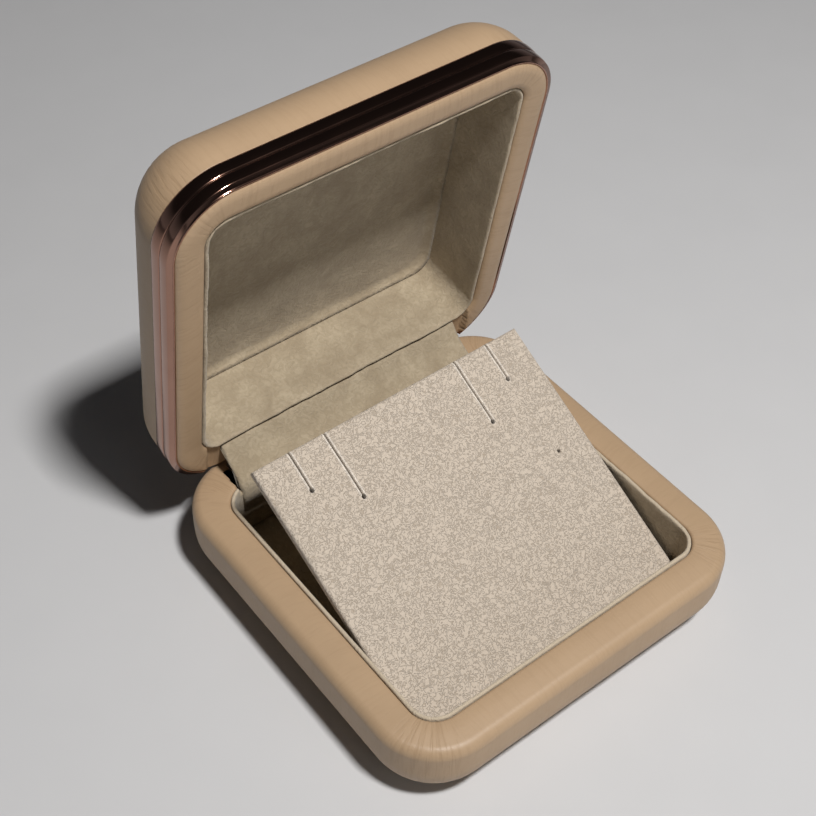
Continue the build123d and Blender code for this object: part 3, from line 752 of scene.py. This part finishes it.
lip_and_highlight = np.zeros(len(vertices))
# Painted highlight: the raised cloth beside each slit is paled towards #EDE4D8 through the lip mask.
lip_and_highlight[:nx * ny] = (0.95 * raised).ravel()
layer.data.foreach_set("value", lip_and_highlight.astype(np.float32))
# Painted shade: the insides of the slits and holes, where the cut is, are darkened towards #2E2419
# through the slot mask.
layer = mesh.attributes.new("slot", "FLOAT", "POINT")
painted_slot_shade = np.zeros(len(vertices))
painted_slot_shade[:nx * ny] = carved.ravel()
layer.data.foreach_set("value", painted_slot_shade.astype(np.float32))
pad_cover = bpy.data.objects.new("pad_suede_cover", mesh)
bpy.context.collection.objects.link(pad_cover)

# The pad's cloth is the lining's suede from a lighter roll, with a curlier nap. Its
# curls are drawn 0.9 mm wide, which is coarser than real ones, so that they show. The
# raised cloth beside each slit is painted paler as a highlight, and the insides of the
# slits and holes are painted dark as shade.
pad_suede, tree, shader = material("brushed_pad_suede")
place = add(tree, "ShaderNodeTexCoord").outputs["Object"]
lip_and_highlight = add(tree, "ShaderNodeAttribute", attribute_name="lip_and_highlight").outputs["Fac"]
cut = add(tree, "ShaderNodeAttribute", attribute_name="slot").outputs["Fac"]
nap = add(tree, "ShaderNodeTexNoise", {"Vector": place, "Scale": 1 / 0.0009, "Detail": 1.0,
                                      "Distortion": 1.1})
fibre = add(tree, "ShaderNodeTexNoise", {"Vector": place, "Scale": 1 / 0.0003, "Detail": 2.0})
offset = add(tree, "ShaderNodeMath", {0: nap.outputs["Fac"], 1: 0.5}, operation="SUBTRACT")
curl = add(tree, "ShaderNodeMath", {0: offset.outputs[0]}, operation="ABSOLUTE")
nap_range = add(tree, "ShaderNodeMapRange", {"Value": curl.outputs[0], "From Min": 0.0,
                                            "From Max": 0.06})
fibre_mix = add(tree, "ShaderNodeMix", {"Factor": 0.45, "A": nap_range.outputs[0],
                                       "B": fibre.outputs["Fac"]})
fabric = add(tree, "ShaderNodeMix", {"Factor": fibre_mix.outputs["Result"],
                                    "A": linear("#A39583"), "B": linear("#D4C8B9")},
             data_type="RGBA")
lip_highlighted = add(tree, "ShaderNodeMix", {"Factor": lip_and_highlight, "A": fabric.outputs["Result"],
                                    "B": linear("#EDE4D8")}, data_type="RGBA")
# Painted shade in the slits and holes.
slot_shaded_colour = add(tree, "ShaderNodeMix", {"Factor": cut, "A": lip_highlighted.outputs["Result"],
                                     "B": linear("#2E2419")}, data_type="RGBA")
tree.links.new(slot_shaded_colour.outputs["Result"], shader.inputs["Base Color"])
shader.inputs["Roughness"].default_value = 0.95
shader.inputs["Specular IOR Level"].default_value = 0.2
shader.inputs["Sheen Weight"].default_value = 0.25
shader.inputs["Sheen Roughness"].default_value = 0.6
nap_bump = add(tree, "ShaderNodeBump", {"Height": fibre_mix.outputs["Result"], "Strength": 0.8,
                                       "Distance": 0.00028})
tree.links.new(nap_bump.outputs[0], shader.inputs["Normal"])
pad_cover.data.materials.append(pad_suede)
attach(pad_cover, "pad")
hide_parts("pad_suede")

# The pad's leg: a card flap covered in the lining's cloth, glued to the underside of the
# pad.
leg_low, leg_high = (np.array(v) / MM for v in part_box("pad_leg"))
leg_half = (leg_high[0] - leg_low[0]) / 2
leg_round = 2.0
turn = np.linspace(0, 2 * math.pi, 65)[:-1]
corner = np.stack([np.cos(turn), np.sin(turn)], -1)
mid_z, half_z = (leg_low[2] + leg_high[2]) / 2, (leg_high[2] - leg_low[2]) / 2
outline = np.sign(corner) * [leg_half - leg_round, half_z - leg_round] + leg_round * corner
mid_y, half_y = (leg_low[1] + leg_high[1]) / 2, (leg_high[1] - leg_low[1]) / 2
levels = [(0.0, -1.0), (0.5, -1.0), (0.98, -1.0), (1.0, -0.6), (1.0, 0.6), (0.98, 1.0), (0.5, 1.0),
          (0.0, 1.0)]
points = np.array([[(x * s, mid_y + half_y * t, mid_z + z * s) for x, z in outline]
                   for s, t in levels])
leg = skin("pad_leg_flap", points, wrap_rows=False,
           attributes={"lip_and_highlight": np.zeros(points.shape[:2])})
leg.data.materials.append(suede)
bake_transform(leg)
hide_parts("pad_leg")

# Hidden structure, carried over from the solids: moulded trays, card, foam and the
# steel hinge. Each still gets the finish of its real material.
# Moulded polystyrene is near black and half matt, with faint flow marks.
moulded, tree, shader = material("moulded_polystyrene")
place = add(tree, "ShaderNodeTexCoord").outputs["Object"]
flow = add(tree, "ShaderNodeTexNoise", {"Vector": place, "Scale": 1 / 0.004, "Detail": 3.0})
tint = add(tree, "ShaderNodeMix", {"Factor": flow.outputs["Fac"], "A": linear("#2A2826"),
                                  "B": linear("#383532")}, data_type="RGBA")
tree.links.new(tint.outputs["Result"], shader.inputs["Base Color"])
shader.inputs["Roughness"].default_value = 0.55

# Pressed steel with zinc plating: pale grey metal with fine rolling lines along X.
zinc_steel, tree, shader = material("zinc_plated_pressed_steel")
place = add(tree, "ShaderNodeTexCoord").outputs["Object"]
roll = add(tree, "ShaderNodeVectorMath", {0: place, 1: (1 / 0.004, 1 / 0.0003, 1 / 0.0003)},
           operation="MULTIPLY")
rolled = add(tree, "ShaderNodeTexNoise", {"Vector": roll.outputs[0], "Scale": 1.0, "Detail": 3.0})
rub = add(tree, "ShaderNodeMapRange", {"Value": rolled.outputs["Fac"], "To Min": 0.28,
                                      "To Max": 0.48})
zinc = add(tree, "ShaderNodeMix", {"Factor": rolled.outputs["Fac"], "A": linear("#C9C4BC"),
                                  "B": linear("#A8A39B")}, data_type="RGBA")
tree.links.new(zinc.outputs["Result"], shader.inputs["Base Color"])
tree.links.new(rub.outputs[0], shader.inputs["Roughness"])
shader.inputs["Metallic"].default_value = 1.0

# Grey-brown pulp board is matt with a fine speckle.
pulp_board, tree, shader = material("grey_pulp_board")
place = add(tree, "ShaderNodeTexCoord").outputs["Object"]
pulp = add(tree, "ShaderNodeTexNoise", {"Vector": place, "Scale": 1 / 0.0008, "Detail": 5.0})
board = add(tree, "ShaderNodeMix", {"Factor": pulp.outputs["Fac"], "A": linear("#8F8069"),
                                   "B": linear("#A4957D")}, data_type="RGBA")
tree.links.new(board.outputs["Result"], shader.inputs["Base Color"])
shader.inputs["Roughness"].default_value = 0.9

# Flocked cloth, soft and matt, also stands for the foam.
flocked, tree, shader = material("flocked_base_cloth")
place = add(tree, "ShaderNodeTexCoord").outputs["Object"]
flock = add(tree, "ShaderNodeTexNoise", {"Vector": place, "Scale": 1 / 0.0006, "Detail": 4.0})
cloth = add(tree, "ShaderNodeMix", {"Factor": flock.outputs["Fac"], "A": linear("#A79680"),
                                   "B": linear("#BBAA94")}, data_type="RGBA")
tree.links.new(cloth.outputs["Result"], shader.inputs["Base Color"])
shader.inputs["Roughness"].default_value = 0.95
shader.inputs["Sheen Weight"].default_value = 0.3
tuft = add(tree, "ShaderNodeBump", {"Height": flock.outputs["Fac"], "Strength": 0.4,
                                   "Distance": 0.0001})
tree.links.new(tuft.outputs[0], shader.inputs["Normal"])

finishes = {
    moulded: ("base_shell", "lid_shell"),
    zinc_steel: ("hinge_base_leaf", "hinge_lid_leaf", "hinge_pin", "hinge_spring",
                 "hinge_base_rivets", "hinge_lid_rivets"),
    pulp_board: ("base_floor_card", "pad_board", "pad_backing"),
    flocked: ("base_bottom_cover", "lid_top_foam")}
for finish, names in finishes.items():
    for name in names:
        piece = frame["nodes"][name]
        piece.data.materials.clear()
        piece.data.materials.append(finish)

# Plain pale floor, a small key lamp overhead and a little to the front, a broad weak
# fill in front that metal doesn't mirror, and a dim room that is brightest low down.
paper, tree, shader = material("matt_background_paper")
place = add(tree, "ShaderNodeTexCoord").outputs["Object"]
tooth = add(tree, "ShaderNodeTexNoise", {"Vector": place, "Scale": 1 / 0.02, "Detail": 2.0})
sheet = add(tree, "ShaderNodeMix", {"Factor": tooth.outputs["Fac"], "A": linear("#CFD0D2"),
                                   "B": linear("#CBCCCE")}, data_type="RGBA")
tree.links.new(sheet.outputs["Result"], shader.inputs["Base Color"])
shader.inputs["Roughness"].default_value = 0.9
floor_mesh = bpy.data.meshes.new("floor")
floor_reach = 4.0
floor_mesh.from_pydata([(x * floor_reach, y * floor_reach, 0) for x, y in
                        ((-1, -1), (1, -1), (1, 1), (-1, 1))], [], [(0, 1, 2, 3)])
floor = bpy.data.objects.new("floor", floor_mesh)
bpy.context.collection.objects.link(floor)
floor.data.materials.append(paper)


def area_lamp(name, place, aim, size, power, colour):
    """A square area lamp at place, its face turned to aim."""
    lamp = bpy.data.lights.new(name, "AREA")
    lamp.size, lamp.energy, lamp.color = size, power, colour
    obj = bpy.data.objects.new(name, lamp)
    bpy.context.collection.objects.link(obj)
    towards = np.array(aim) - np.array(place)
    back = -towards / np.linalg.norm(towards)
    right = np.cross([0, 0, 1], back)
    right /= np.linalg.norm(right)
    up = np.cross(back, right)
    turn = Matrix(np.column_stack([right, up, back]).tolist())
    obj.matrix_world = Matrix.Translation(place) @ turn.to_4x4()
    return obj


area_lamp("key", (0.015, -0.25, 0.66), (0.0, 0.0, 0.03), 0.07, 4.7, (1.0, 0.975, 0.95))
fill = area_lamp("front_fill", (0.10, -0.75, 0.35), (0.0, 0.0, 0.05), 0.5, 0.60, (1.0, 0.98, 0.96))
fill.visible_glossy = False
world = bpy.data.worlds.new("dim_room")
bpy.context.scene.world = world
world.use_nodes = True
tree = world.node_tree
tree.nodes.clear()
direction = add(tree, "ShaderNodeTexCoord").outputs["Generated"]
height = add(tree, "ShaderNodeSeparateXYZ", {"Vector": direction}).outputs["Z"]
overhead = add(tree, "ShaderNodeMapRange", {"Value": height, "From Min": 0.0, "From Max": 0.42})
walls = add(tree, "ShaderNodeMix", {"Factor": overhead.outputs[0], "A": linear("#C9CCD2"),
                                   "B": linear("#3A3B3E")}, data_type="RGBA")
room = add(tree, "ShaderNodeBackground", {"Color": walls.outputs["Result"], "Strength": 0.31})
add(tree, "ShaderNodeOutputWorld", {"Surface": room.outputs[0]})

# Camera at the photograph's angle, from a fit to the edges of the base and lid.
azimuth, elevation, roll = (math.radians(v) for v in (-38.96, 47.04, 1.43))
focal_px = 1451.4
image_px = 816
offset_mm = (10.413, -23.102, 310.945)
back = np.array([math.sin(azimuth) * math.cos(elevation),
                 -math.cos(azimuth) * math.cos(elevation), math.sin(elevation)])
right = np.cross(-back, [0, 0, 1])
right /= np.linalg.norm(right)
up = np.cross(right, -back)
right_rolled = math.cos(roll) * right + math.sin(roll) * up
up_rolled = -math.sin(roll) * right + math.cos(roll) * up
view = np.array([right_rolled, up_rolled, back])
eye = view.T @ np.array([-offset_mm[0], -offset_mm[1], offset_mm[2]]) + [0, 0, base_height]
lens = bpy.data.cameras.new("camera")
lens.sensor_width = 36.0
lens.lens = focal_px * lens.sensor_width / image_px
lens.clip_start = 0.01
camera = bpy.data.objects.new("camera", lens)
bpy.context.collection.objects.link(camera)
camera.matrix_world = Matrix.Translation((eye * MM).tolist()) @ Matrix(view.T.tolist()).to_4x4()
bpy.context.scene.camera = camera
bpy.context.scene.view_settings.view_transform = "Standard"
